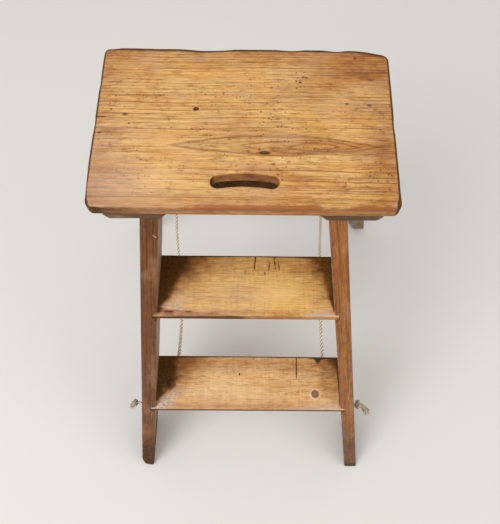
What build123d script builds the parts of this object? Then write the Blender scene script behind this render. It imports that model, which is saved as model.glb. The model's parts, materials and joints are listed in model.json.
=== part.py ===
"""Folding wooden steps: a splayed front frame with two trenched treads and a hinged rear frame tied by ropes.

Millimetres, +Z up, +X to the right of someone who faces the steps, the front towards -Y.
The origin is on the floor, in the middle of the four feet.
"""
import os
from math import cos, radians, sin, tan

from build123d import *

# Whole steps
step_height = 760.0

# Top board
top_width = 450.0
top_depth = 286.0
top_thickness = 24.0
top_corner_radius = 12.0
top_upper_arris = 5.0
top_lower_arris = 2.5

# Hand slot in the top board, a kidney bowed to the rear
slot_length = 98.0
slot_width = 20.0
slot_bow = 3.6
slot_setback = 43.0
slot_offset = 2.0
slot_arris = 2.5

# Battens that run from front to back under the top board
batten_width = 92.0
batten_thickness = 20.0
batten_half_spacing = 111.5
batten_front_setback = 3.0
batten_rear_setback = 8.0
batten_inner_bevel_across = 11.0
batten_inner_bevel_height = 14.0
batten_outer_bevel_across = 7.0
batten_outer_bevel_height = 11.0

# Front stiles, measured at the underside of the battens
front_slope = radians(23.4)
front_splay = radians(8.4)
stile_half_spacing = 153.5
stile_front_setback = 6.0
stile_width = 104.0
stile_thickness = 28.6
stile_arris = 1.5
stile_housing = 6.0

# Treads, trenched into the stiles
lower_tread_level = 238.0
upper_tread_level = 516.0
tread_thickness = 21.0
tread_nosing = 2.0
tread_front_arris = 4.0
tread_rear_arris = 1.5
trench_depth = 9.0

# Back rail across the rear edges of the stiles
back_rail_width = 75.0
back_rail_thickness = 20.0

# Rear legs, measured at the underside of the battens
rear_slope = radians(14.0)
rear_splay = radians(9.2)
leg_setback = 158.5
leg_half_spacing = 156.0
leg_width = 43.0
leg_thickness = 22.0
leg_arris = 1.5
leg_head_gap = 0.5
foot_taper = 13.0
foot_taper_height = 70.0

# Rear rails, tenoned and pegged into the legs
upper_rail_level = 590.0
lower_rail_level = 201.0
rail_width = 55.0
rail_thickness = 18.0
rail_arris = 1.5
tenon_length = 28.0
tenon_thickness = 9.0
tenon_shoulder = 8.0
peg_radius = 4.0
peg_sides = 8

# Butt hinges between the battens and the rear legs
hinge_half_spacing = 176.0
leaf_width = 26.0
leaf_length = 36.0
leaf_thickness = 2.0
leaf_corner_radius = 2.0
knuckle_radius = 3.5
middle_knuckle = 9.4
knuckle_gap = 0.3
pin_radius = 1.9
pin_clearance = 0.06

# Hinge screws
screw_head_radius = 3.2
screw_countersink = 1.4
screw_land = 0.3
screw_shank_radius = 1.7
screw_length = 15.0
screw_sides = 8
screw_edge_distance = 6.0

# Cut nails
nail_head = 5.0
nail_head_depth = 1.5
nail_shank = 3.2
nail_taper = 1.0
batten_nail_length = 34.0
batten_nail_edge = 19.0
batten_nail_front = 62.0
batten_nail_middle = 108.0
batten_nail_rear = 34.0
stile_nail_length = 44.0
stile_nail_front = 32.0
stile_nail_rear = 72.0
tread_nail_length = 48.0
back_rail_nail_length = 50.0

# Ropes that tie the frames together
rope_diameter = 8.0
rope_sides = 10
rope_hole_radius = 5.2
rope_clearance = 0.3
rope_level = 200.0
rope_setback = 33.0
rear_hole_left = 189.0
rear_hole_right = 172.0
rope_arc_share = 0.45
rope_turn = 21.0
rope_lead = 30.0

# Stopper knots on the rope ends
knot_radius = 9.6
knot_easing = 3.0
knot_length = 13.6
knot_gap_left = 10.0
knot_gap_right = 2.0
rear_knot_gap = 0.5
tail_radius = 3.8
fray_radius = 5.6
fray_easing = 1.8
fray_length = 10.0

# Levels, slopes and the shift that puts the origin between the feet
top_under = step_height - top_thickness
batten_under = top_under - batten_thickness
stile_top = batten_under + stile_housing
leg_top = batten_under - leg_head_gap
stile_depth = stile_width / cos(front_slope)
leg_depth = leg_thickness / cos(rear_slope)
toe = stile_front_setback - batten_under * tan(front_slope)
heel = leg_setback + batten_under * tan(rear_slope) + leg_depth
front_edge = -(toe + heel) / 2
batten_length = top_depth - batten_front_setback - batten_rear_setback
hole_rise = rope_hole_radius - rope_diameter / 2 - rope_clearance
reach = 2 * top_width


def stile_front_y(level):
    """Front edge of the stiles at a level."""
    return front_edge + stile_front_setback - (batten_under - level) * tan(front_slope)


def stile_rear_y(level):
    """Rear edge of the stiles at a level."""
    return stile_front_y(level) + stile_depth


def stile_outer_x(level):
    """Outer face of the right stile at a level."""
    return stile_half_spacing + (batten_under - level) * tan(front_splay)


def leg_front_y(level):
    """Front face of the rear legs at a level."""
    return front_edge + leg_setback + (batten_under - level) * tan(rear_slope)


def leg_inner_x(level):
    """Inner edge of the right rear leg at a level."""
    return leg_half_spacing + (batten_under - level) * tan(rear_splay)


def splayed_plane(side, half_spacing, splay, outward):
    """Plane of a splayed face that faces away from the middle, moved outward from half_spacing."""
    face = Plane(
        origin=(side * half_spacing, 0, batten_under),
        x_dir=(0, 1, 0),
        z_dir=(side * cos(splay), 0, sin(splay)),
    )
    return face.offset(outward)


def stile_plane(side, outward):
    """Plane along the outer face of a stile, moved outward."""
    return splayed_plane(side, stile_half_spacing, front_splay, outward)


def leg_plane(side, outward):
    """Plane along the inner edge of a rear leg, moved outward."""
    return splayed_plane(side, leg_half_spacing, rear_splay, outward)


def rail_plane(level):
    """Mid plane of a rear rail: x across the steps, y down the legs, z out of the rear face."""
    middle = leg_front_y(level) + leg_depth / 2
    return Plane(origin=(0, middle, level), x_dir=(1, 0, 0), z_dir=(0, cos(rear_slope), sin(rear_slope)))


def on_plane(plane, x, y, z):
    """World position of a point given in a plane's own directions."""
    return plane.origin + plane.x_dir * x + plane.y_dir * y + plane.z_dir * z


def mirrored(piece):
    """The left-hand twin of a right-hand piece."""
    return mirror(piece, about=Plane.YZ)


# Fasteners
def nail(head, direction, length):
    """A cut nail with a square head and a tapered square shank."""
    seat = Plane(origin=head, z_dir=direction)
    with BuildPart() as piece:
        with BuildSketch(seat):
            Rectangle(nail_head, nail_head)
        extrude(amount=nail_head_depth)
        with BuildSketch(seat.offset(nail_head_depth)):
            Rectangle(nail_shank, nail_shank)
        extrude(amount=length - nail_head_depth, taper=nail_taper)
    return piece.part


def screw(head, direction):
    """A countersunk wood screw with a plain shank."""
    seat = Plane(origin=head, z_dir=direction)
    with BuildPart() as piece:
        with BuildSketch(seat):
            RegularPolygon(screw_head_radius, screw_sides)
        extrude(amount=screw_countersink + screw_land)
        inner_end = piece.faces().sort_by(Axis(seat.origin, seat.z_dir))[-1]
        chamfer(inner_end.edges(), length=screw_countersink)
        with BuildSketch(seat):
            RegularPolygon(screw_shank_radius, screw_sides)
        extrude(amount=screw_length)
    return piece.part


with BuildPart() as top_nails:
    batten_nail_x = batten_half_spacing + batten_width - batten_nail_edge
    stile_nail_x = stile_half_spacing - 0.3 * stile_thickness
    for side in (-1, 1):
        for depth in (batten_nail_front, batten_nail_middle, top_depth - batten_nail_rear):
            add(nail((side * batten_nail_x, front_edge + depth, batten_under), (0, 0, 1), batten_nail_length))
        for depth in (stile_nail_front, stile_nail_rear):
            add(nail((side * stile_nail_x, front_edge + depth, top_under), (0, 0, -1), stile_nail_length))

with BuildPart() as tread_nails:
    for side in (-1, 1):
        face = stile_plane(side, 0)
        for level in (lower_tread_level, upper_tread_level):
            head_level = level - 0.35 * tread_thickness
            for share in (0.3, 0.7):
                head_y = stile_front_y(level) + share * stile_depth
                head_x = side * stile_outer_x(head_level)
                add(nail((head_x, head_y, head_level), -face.z_dir, tread_nail_length))

with BuildPart() as back_rail_nails:
    for side in (-1, 1):
        for drop in (0.3, 0.75):
            level = batten_under - drop * back_rail_width * cos(front_slope)
            nail_x = stile_outer_x(level) - 0.65 * stile_thickness / cos(front_splay)
            inward = (0, -cos(front_slope), sin(front_slope))
            add(nail((side * nail_x, stile_rear_y(level), level), inward, back_rail_nail_length))

with BuildPart() as rail_pegs:
    for level in (lower_rail_level, upper_rail_level):
        seat = rail_plane(level)
        for side in (-1, 1):
            peg_x = side * (leg_inner_x(level) + tenon_length / 2)
            with BuildSketch(Plane(origin=on_plane(seat, peg_x, 0, -leg_thickness / 2), z_dir=seat.z_dir)):
                RegularPolygon(peg_radius, peg_sides)
    extrude(amount=leg_thickness)

# Hinges: the leaves lie on the batten and the leg, and the knuckles stand clear of both
leaf_face = knuckle_radius + knuckle_gap
pin_z = batten_under - leaf_face
pin_y = leg_front_y(pin_z) - leaf_face / cos(rear_slope)
outer_knuckle = (leaf_width - middle_knuckle) / 2 - knuckle_gap


def hinge_seat(along, into, x):
    """Plane across the pin at x: its x runs along the leaf towards the pin, its y into the wood."""
    return Plane(origin=(x, pin_y, pin_z), x_dir=along, z_dir=Vector(*along).cross(Vector(*into)))


def screw_places(along, into):
    """Heads of the two screws of the right-hand leaf, on its open face."""
    surface = leaf_face - leaf_thickness
    near = knuckle_radius + screw_edge_distance
    far = leaf_length - screw_edge_distance
    spread = leaf_width / 2 - screw_edge_distance
    places = []
    for across, back in ((-spread, far), (spread, near)):
        foot = Vector(hinge_half_spacing + across, pin_y, pin_z)
        places.append(foot - Vector(*along) * back + Vector(*into) * surface)
    return places


def hinge_leaf(along, into, knuckles, bore, screws):
    """A right-hand leaf: a plate, the knuckles at its edge and countersunk holes."""
    plate_end = knuckle_radius + knuckle_gap
    plate_level = leaf_face - leaf_thickness / 2
    start = hinge_half_spacing - leaf_width / 2
    first = hinge_seat(along, into, 0)
    if first.z_dir.X < 0:
        start = start + leaf_width
    with BuildPart() as leaf:
        with BuildSketch(hinge_seat(along, into, start)):
            with Locations((-(leaf_length + plate_end) / 2, plate_level)):
                Rectangle(leaf_length - plate_end, leaf_thickness)
        extrude(amount=leaf_width)
        corners = leaf.edges().filter_by(lambda edge: abs(edge.length - leaf_thickness) < 0.01)
        fillet(corners.sort_by_distance((hinge_half_spacing, pin_y, pin_z))[-2:], radius=leaf_corner_radius)
        for low, high in knuckles:
            with BuildSketch(hinge_seat(along, into, hinge_half_spacing + low)) as section:
                Circle(knuckle_radius)
                with Locations((-plate_end / 2, plate_level)):
                    Rectangle(plate_end, leaf_thickness)
                Circle(bore, mode=Mode.SUBTRACT)
            extrude(amount=(high - low) * first.z_dir.X)
        for place in screws:
            add(screw(place, into), mode=Mode.SUBTRACT)
    return leaf.part


top_along = (0, 1, 0)
top_into = (0, 0, 1)
leg_along = (0, -sin(rear_slope), cos(rear_slope))
leg_into = (0, cos(rear_slope), sin(rear_slope))
half_leaf = leaf_width / 2
outer_knuckles = ((-half_leaf, outer_knuckle - half_leaf), (half_leaf - outer_knuckle, half_leaf))
middle_knuckles = ((-middle_knuckle / 2, middle_knuckle / 2),)
top_places = screw_places(top_along, top_into)
leg_places = screw_places(leg_along, leg_into)
bore_radius = pin_radius + pin_clearance
top_leaf_right = hinge_leaf(top_along, top_into, outer_knuckles, pin_radius, top_places)
leg_leaf_right = hinge_leaf(leg_along, leg_into, middle_knuckles, bore_radius, leg_places)

with BuildPart() as hinge_top_screws:
    for place in top_places:
        add(screw(place, top_into))
    mirror(about=Plane.YZ)

with BuildPart() as hinge_leg_screws:
    for place in leg_places:
        add(screw(place, leg_into))
    mirror(about=Plane.YZ)

with BuildPart() as hinge_pin_right:
    pin_seat = Plane(origin=(hinge_half_spacing - half_leaf, pin_y, pin_z), z_dir=(1, 0, 0))
    with BuildSketch(pin_seat):
        Circle(pin_radius)
    extrude(amount=leaf_width)

# Top board
slot_half = (slot_length - slot_width) / 2
slot_y = front_edge + slot_setback
slot_line = ThreePointArc(
    (slot_offset - slot_half, slot_y), (slot_offset, slot_y + slot_bow), (slot_offset + slot_half, slot_y)
)
with BuildPart() as top_board:
    with BuildSketch(Plane.XY.offset(top_under)):
        with Locations((0, front_edge + top_depth / 2)):
            RectangleRounded(top_width, top_depth, top_corner_radius)
        SlotArc(slot_line, slot_width, mode=Mode.SUBTRACT)
    extrude(amount=top_thickness)
    upper_face = top_board.faces().sort_by(Axis.Z)[-1]
    lower_face = top_board.faces().sort_by(Axis.Z)[0]
    slot_edges = upper_face.inner_wires()[0].edges() + lower_face.inner_wires()[0].edges()
    outer_upper = upper_face.outer_wire().edges()
    outer_lower = lower_face.outer_wire().edges()
    fillet(outer_upper, radius=top_upper_arris)
    chamfer(outer_lower, length=top_lower_arris)
    chamfer(slot_edges, length=slot_arris)
    add(top_nails.part, mode=Mode.SUBTRACT)


# Treads
def tread(level):
    """A tread with an eased front edge, its rear edge planed to the slope of the stiles."""
    front = stile_front_y(level) - tread_nosing
    under = level - tread_thickness
    with BuildPart() as board:
        with BuildSketch(Plane.YZ.offset(-reach)) as section:
            with BuildLine():
                Polyline(
                    (front, under),
                    (stile_rear_y(under), under),
                    (stile_rear_y(level), level),
                    (front, level),
                    close=True,
                )
            make_face()
            corners = section.vertices().sort_by(Axis.X)
            fillet(corners[:2], radius=tread_front_arris)
            fillet(corners[2:], radius=tread_rear_arris)
        extrude(amount=2 * reach)
        for side in (-1, 1):
            split(bisect_by=stile_plane(side, trench_depth - stile_thickness), keep=Keep.BOTTOM)
        add(tread_nails.part, mode=Mode.SUBTRACT)
    return board.part


def trench(level):
    """The room that a tread takes out of the right stile."""
    middle = (stile_front_y(level) + stile_rear_y(level)) / 2
    with BuildPart() as room:
        with Locations((0, middle, level - tread_thickness / 2)):
            Box(2 * reach, 2 * stile_depth, tread_thickness)
        split(bisect_by=stile_plane(1, trench_depth - stile_thickness), keep=Keep.BOTTOM)
    return room.part


upper_tread = tread(upper_tread_level)
lower_tread = tread(lower_tread_level)

# Back rail, let in flush with the rear edges of the stiles
rail_foot_y = stile_rear_y(batten_under) - back_rail_width * sin(front_slope)
rail_foot_z = batten_under - back_rail_width * cos(front_slope)
with BuildPart() as back_rail:
    with BuildSketch(Plane.YZ.offset(-reach)):
        with BuildLine():
            Polyline(
                (stile_rear_y(batten_under), batten_under),
                (rail_foot_y, rail_foot_z),
                (
                    rail_foot_y - back_rail_thickness * cos(front_slope),
                    rail_foot_z + back_rail_thickness * sin(front_slope),
                ),
                (stile_rear_y(batten_under) - back_rail_thickness / cos(front_slope), batten_under),
                close=True,
            )
        make_face()
    extrude(amount=2 * reach)
    for side in (-1, 1):
        split(bisect_by=stile_plane(side, 0), keep=Keep.BOTTOM)
    add(back_rail_nails.part, mode=Mode.SUBTRACT)

# Front stiles
with BuildPart() as front_stile_right:
    with BuildSketch(Plane.YZ):
        with BuildLine():
            Polyline(
                (stile_front_y(0), 0),
                (stile_rear_y(0), 0),
                (stile_rear_y(stile_top), stile_top),
                (stile_front_y(stile_top), stile_top),
                close=True,
            )
        make_face()
    extrude(amount=reach)
    split(bisect_by=stile_plane(1, 0), keep=Keep.BOTTOM)
    split(bisect_by=stile_plane(1, -stile_thickness), keep=Keep.TOP)
    chamfer(front_stile_right.edges().filter_by(lambda edge: edge.length > stile_top), length=stile_arris)
    for level in (lower_tread_level, upper_tread_level):
        add(trench(level), mode=Mode.SUBTRACT)
    with Locations((stile_outer_x(rope_level), stile_front_y(rope_level) + rope_setback, rope_level + hole_rise)):
        Cylinder(rope_hole_radius, 4 * stile_thickness, rotation=(0, 90, 0), mode=Mode.SUBTRACT)
    add(back_rail.part, mode=Mode.SUBTRACT)
    for fastener in (top_nails, tread_nails, back_rail_nails):
        add(fastener.part, mode=Mode.SUBTRACT)

# Battens
batten_outer = batten_half_spacing + batten_width
with BuildPart() as batten_right:
    with BuildSketch(Plane.XZ.offset(-front_edge - batten_front_setback)):
        with BuildLine():
            Polyline(
                (batten_half_spacing, top_under),
                (batten_half_spacing, batten_under + batten_inner_bevel_height),
                (batten_half_spacing + batten_inner_bevel_across, batten_under),
                (batten_outer - batten_outer_bevel_across, batten_under),
                (batten_outer, batten_under + batten_outer_bevel_height),
                (batten_outer, top_under),
                close=True,
            )
        make_face()
    extrude(amount=-batten_length)
    for piece in (front_stile_right, top_nails, hinge_top_screws):
        add(piece.part, mode=Mode.SUBTRACT)


# Rear rails
def rear_rail(level):
    """A rail of the rear frame, with a tenon at each end and holes for its pegs."""
    seat = rail_plane(level)
    with BuildPart() as body:
        with Locations(seat):
            Box(2 * reach, rail_width, rail_thickness)
        chamfer(body.edges().filter_by(Axis.X), length=rail_arris)
        for side in (-1, 1):
            split(bisect_by=leg_plane(side, 0), keep=Keep.BOTTOM)
    with BuildPart() as tenons:
        with Locations(seat):
            Box(2 * reach, rail_width - 2 * tenon_shoulder, tenon_thickness)
        for side in (-1, 1):
            split(bisect_by=leg_plane(side, tenon_length), keep=Keep.BOTTOM)
    with BuildPart() as rail:
        add(body.part)
        add(tenons.part)
        add(rail_pegs.part, mode=Mode.SUBTRACT)
    return rail.part


rear_upper_rail = rear_rail(upper_rail_level)
lower_seat = rail_plane(lower_rail_level)
with BuildPart() as rear_lower_rail:
    add(rear_rail(lower_rail_level))
    for hole_x in (-rear_hole_left, rear_hole_right):
        with Locations(Plane(origin=on_plane(lower_seat, hole_x, -hole_rise, 0), z_dir=lower_seat.z_dir)):
            Cylinder(rope_hole_radius, 2 * rail_thickness, mode=Mode.SUBTRACT)

# Rear legs, the inner edge tapered at the foot
taper_foot_x = leg_inner_x(0) + foot_taper
taper_plane = Plane(
    origin=(taper_foot_x, 0, 0),
    x_dir=(0, 1, 0),
    z_dir=(foot_taper_height, 0, taper_foot_x - leg_inner_x(foot_taper_height)),
)
with BuildPart() as rear_leg_right:
    with BuildSketch(Plane.YZ):
        with BuildLine():
            Polyline(
                (leg_front_y(0), 0),
                (leg_front_y(0) + leg_depth, 0),
                (leg_front_y(leg_top) + leg_depth, leg_top),
                (leg_front_y(leg_top), leg_top),
                close=True,
            )
        make_face()
    extrude(amount=reach)
    split(bisect_by=leg_plane(1, 0), keep=Keep.TOP)
    split(bisect_by=leg_plane(1, leg_width), keep=Keep.BOTTOM)
    chamfer(rear_leg_right.edges().filter_by(lambda edge: edge.length > leg_top), length=leg_arris)
    split(bisect_by=taper_plane, keep=Keep.TOP)
    for piece in (rear_upper_rail, rear_lower_rail.part, rail_pegs.part, hinge_leg_screws.part):
        add(piece, mode=Mode.SUBTRACT)


# Ropes and knots
def rope(name, points):
    """A rope of round section along straight runs joined by tangent arcs."""
    radii = []
    for before, corner, after in zip(points, points[1:], points[2:]):
        arriving = Vector(corner) - Vector(before)
        leaving = Vector(after) - Vector(corner)
        half_turn = radians(arriving.get_angle(leaving)) / 2
        radii.append(rope_arc_share * min(arriving.length, leaving.length) / tan(half_turn))
    with BuildPart() as tube:
        with BuildLine() as route:
            FilletPolyline(*points, radius=radii)
        with BuildSketch(Plane(origin=points[0], z_dir=Vector(points[1]) - Vector(points[0]))) as section:
            RegularPolygon(rope_diameter / 2, rope_sides)
        sweep()
    length = route.wires()[0].length
    print(name, "bend radii", [round(radius, 1) for radius in radii])
    share = tube.part.volume / (length * section.sketch.area)
    print(name, "length", round(length, 1), "volume share", round(share, 4))
    return tube.part


def eased_bar(plane, radius, length, easing):
    """A many-sided bar with both ends eased: a wrap of a knot or a frayed end."""
    with BuildPart() as bar:
        with BuildSketch(plane):
            RegularPolygon(radius, rope_sides)
        extrude(amount=length)
        ends = bar.faces().sort_by(Axis(plane.origin, plane.z_dir))
        chamfer(ends[0].edges() + ends[-1].edges(), length=easing)
    return bar.part


def knot(face, direction, tail_direction, tail_length):
    """A stopper knot of two wraps on the end of a rope, with a frayed tail."""
    seat = Plane(origin=face, z_dir=direction)
    tail = Plane(origin=seat.offset(0.7 * knot_length).origin, z_dir=tail_direction)
    with BuildPart() as piece:
        for wrap in (seat, seat.offset(knot_length / 2)):
            add(eased_bar(wrap, knot_radius, knot_length / 2, knot_easing))
        with BuildSketch(tail):
            RegularPolygon(tail_radius, rope_sides)
        extrude(amount=tail_length)
        add(eased_bar(tail.offset(tail_length), fray_radius, fray_length, fray_easing))
    return piece.part


rope_y = stile_front_y(rope_level) + rope_setback
rope_turn_x = stile_outer_x(rope_level) - stile_thickness / cos(front_splay) - rope_turn
front_left = (-stile_outer_x(rope_level) - knot_gap_left, rope_y, rope_level)
front_right = (stile_outer_x(rope_level) + knot_gap_right, rope_y, rope_level)
rear_reach = rail_thickness / 2 + rear_knot_gap
rear_left_lead = on_plane(lower_seat, -rear_hole_left, 0, -rope_lead)
rear_left = on_plane(lower_seat, -rear_hole_left, 0, rear_reach)
rear_right_lead = on_plane(lower_seat, rear_hole_right, 0, -rope_lead)
rear_right = on_plane(lower_seat, rear_hole_right, 0, rear_reach)

rope_left = rope(
    "rope_left",
    (
        front_left,
        (-rope_turn_x, rope_y, rope_level),
        (-163.0, -150.0, 188.0),
        (-159.5, -70.0, 177.5),
        (-163.0, 17.0, 173.5),
        (-173.0, 103.0, 176.5),
        (-183.0, 180.0, 184.0),
        rear_left_lead,
        rear_left,
    ),
)
rope_right = rope(
    "rope_right",
    (
        front_right,
        (rope_turn_x, rope_y, rope_level),
        (168.5, -150.0, 188.0),
        (165.0, -70.0, 177.5),
        (166.3, 17.0, 173.5),
        (167.6, 103.0, 176.5),
        (169.0, 180.0, 184.0),
        rear_right_lead,
        rear_right,
    ),
)
rear_way = tuple(lower_seat.z_dir)
front_knot_left = knot(front_left, (-1, 0, 0), (-0.3, -0.7, -0.65), 9.0)
front_knot_right = knot(front_right, (1, 0, 0), (0.6, -0.6, -0.5), 22.0)
rear_knot_left = knot(on_plane(lower_seat, -rear_hole_left, 0, rear_reach + 0.3), rear_way, (-0.2, 0.5, -0.8), 14.0)
rear_knot_right = knot(on_plane(lower_seat, rear_hole_right, 0, rear_reach + 0.3), rear_way, (0.2, 0.5, -0.8), 14.0)

# Every piece under its own name
pieces = {
    "top_board": top_board.part,
    "batten_left": mirrored(batten_right.part),
    "batten_right": batten_right.part,
    "front_stile_left": mirrored(front_stile_right.part),
    "front_stile_right": front_stile_right.part,
    "upper_tread": upper_tread,
    "lower_tread": lower_tread,
    "back_rail": back_rail.part,
    "rear_leg_left": mirrored(rear_leg_right.part),
    "rear_leg_right": rear_leg_right.part,
    "rear_upper_rail": rear_upper_rail,
    "rear_lower_rail": rear_lower_rail.part,
    "hinge_top_leaf_left": mirrored(top_leaf_right),
    "hinge_top_leaf_right": top_leaf_right,
    "hinge_leg_leaf_left": mirrored(leg_leaf_right),
    "hinge_leg_leaf_right": leg_leaf_right,
    "hinge_pin_left": mirrored(hinge_pin_right.part),
    "hinge_pin_right": hinge_pin_right.part,
    "hinge_top_screws": hinge_top_screws.part,
    "hinge_leg_screws": hinge_leg_screws.part,
    "top_nails": top_nails.part,
    "tread_nails": tread_nails.part,
    "back_rail_nails": back_rail_nails.part,
    "rail_pegs": rail_pegs.part,
    "rope_left": rope_left,
    "rope_right": rope_right,
    "front_knot_left": front_knot_left,
    "front_knot_right": front_knot_right,
    "rear_knot_left": rear_knot_left,
    "rear_knot_right": rear_knot_right,
}
os.makedirs("parts", exist_ok=True)
for name, piece in pieces.items():
    piece.label = name
    export_step(piece, f"parts/{name}.step")
print(len(pieces), "pieces; hinge pin at", round(pin_y, 3), round(pin_z, 3), "front edge at", round(front_edge, 3))
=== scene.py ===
"""A worn pine stepladder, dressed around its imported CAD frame.

Each wooden board is a finely divided copy of its CAD mesh, worn inwards along its arrises. The ropes are
three-strand meshes that follow one smooth spline each, and they end in knots. Lengths are in metres. Marks,
routes and tied knots are listed in millimetres.
"""

import functools
import itertools
import json
import math
from dataclasses import dataclass
from types import SimpleNamespace

import bmesh
import bpy
import numpy as np
from mathutils import Matrix, Vector

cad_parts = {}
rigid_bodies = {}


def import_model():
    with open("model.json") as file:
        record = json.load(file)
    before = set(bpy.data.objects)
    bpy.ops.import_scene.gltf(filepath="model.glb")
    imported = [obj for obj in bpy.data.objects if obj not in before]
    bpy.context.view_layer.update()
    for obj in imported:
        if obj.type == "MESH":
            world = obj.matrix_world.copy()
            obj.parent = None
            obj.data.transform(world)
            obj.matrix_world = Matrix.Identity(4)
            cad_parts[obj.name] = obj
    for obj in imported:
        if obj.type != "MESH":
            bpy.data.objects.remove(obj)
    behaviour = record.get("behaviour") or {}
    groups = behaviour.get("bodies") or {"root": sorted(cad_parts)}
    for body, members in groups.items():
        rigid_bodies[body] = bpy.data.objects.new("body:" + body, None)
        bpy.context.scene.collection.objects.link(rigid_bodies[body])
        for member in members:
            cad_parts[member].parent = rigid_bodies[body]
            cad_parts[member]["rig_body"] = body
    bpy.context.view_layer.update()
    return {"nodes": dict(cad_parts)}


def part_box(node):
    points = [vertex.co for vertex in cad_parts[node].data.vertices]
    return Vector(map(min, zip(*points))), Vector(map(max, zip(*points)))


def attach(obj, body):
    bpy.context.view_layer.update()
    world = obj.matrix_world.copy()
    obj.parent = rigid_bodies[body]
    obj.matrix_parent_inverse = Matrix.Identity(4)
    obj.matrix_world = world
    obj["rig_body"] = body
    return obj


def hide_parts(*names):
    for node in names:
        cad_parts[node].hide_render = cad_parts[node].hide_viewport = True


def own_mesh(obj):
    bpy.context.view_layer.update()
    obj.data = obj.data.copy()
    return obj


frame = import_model()

MM = 0.001


# Small helpers.
def smooth(low, high, values):
    """0 below low, 1 above high and an even slope between them."""
    share = np.clip((values - low) / (high - low), 0, 1)
    return share * share * (3 - 2 * share)


def fall(low, high, values):
    """1 below low, 0 above high and an even slope between them."""
    return 1 - smooth(low, high, values)


def value_noise(points, seed):
    """Smooth noise from 0 to 1 with one lattice cell per unit."""
    side = 32
    lattice = np.random.default_rng(seed).random((side, side, side))
    base = np.floor(points).astype(int)
    share = smooth(0, 1, points - base)
    total = np.zeros(len(points))
    for corner in itertools.product((0, 1), repeat=3):
        near = np.where(np.array(corner) == 1, share, 1 - share)
        x, y, z = ((base + corner) % side).T
        total += near.prod(axis=1) * lattice[x, y, z]
    return total


def around(angle, first, second):
    """A direction at an angle from a first one towards a second one."""
    return first * math.cos(angle) + second * math.sin(angle)


def colour(red, green, blue):
    """A colour written from 0 to 255, as the shader takes it."""
    return [((part / 255 + 0.055) / 1.055) ** 2.4 for part in (red, green, blue)] + [1.0]


def show(name, mesh):
    """Puts a mesh into the scene as an object."""
    made = bpy.data.objects.new(name, mesh)
    bpy.context.collection.objects.link(made)
    return made


# Camera, at the photograph's viewing angle.
IMAGE_WIDTH = 500
IMAGE_HEIGHT = 524
FOCAL_PIXELS = 568.385
AXIS_PIXEL = 267.259
CAMERA_PLACE = Vector((0.029536, -0.398560, 1.464483))
CAMERA_PITCH = math.radians(67.62)
CAMERA_YAW = math.radians(1.049)
CAMERA_ROLL = math.radians(1.481)


def make_camera():
    data = bpy.data.cameras.new("photo_camera")
    data.lens = FOCAL_PIXELS / IMAGE_HEIGHT * data.sensor_width
    data.shift_x = (IMAGE_WIDTH / 2 - AXIS_PIXEL) / IMAGE_HEIGHT
    run = math.cos(CAMERA_PITCH)
    forward = Vector((math.sin(CAMERA_YAW) * run, math.cos(CAMERA_YAW) * run, -math.sin(CAMERA_PITCH)))
    level = Vector((math.cos(CAMERA_YAW), -math.sin(CAMERA_YAW), 0))
    above = level.cross(forward)
    right = around(CAMERA_ROLL, level, above)
    up = around(CAMERA_ROLL, above, -level)
    turned = Matrix((right, up, -forward)).transposed()
    camera = bpy.data.objects.new("photo_camera", data)
    camera.matrix_world = Matrix.Translation(CAMERA_PLACE) @ turned.to_4x4()
    bpy.context.collection.objects.link(camera)
    bpy.context.scene.camera = camera


make_camera()


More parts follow.
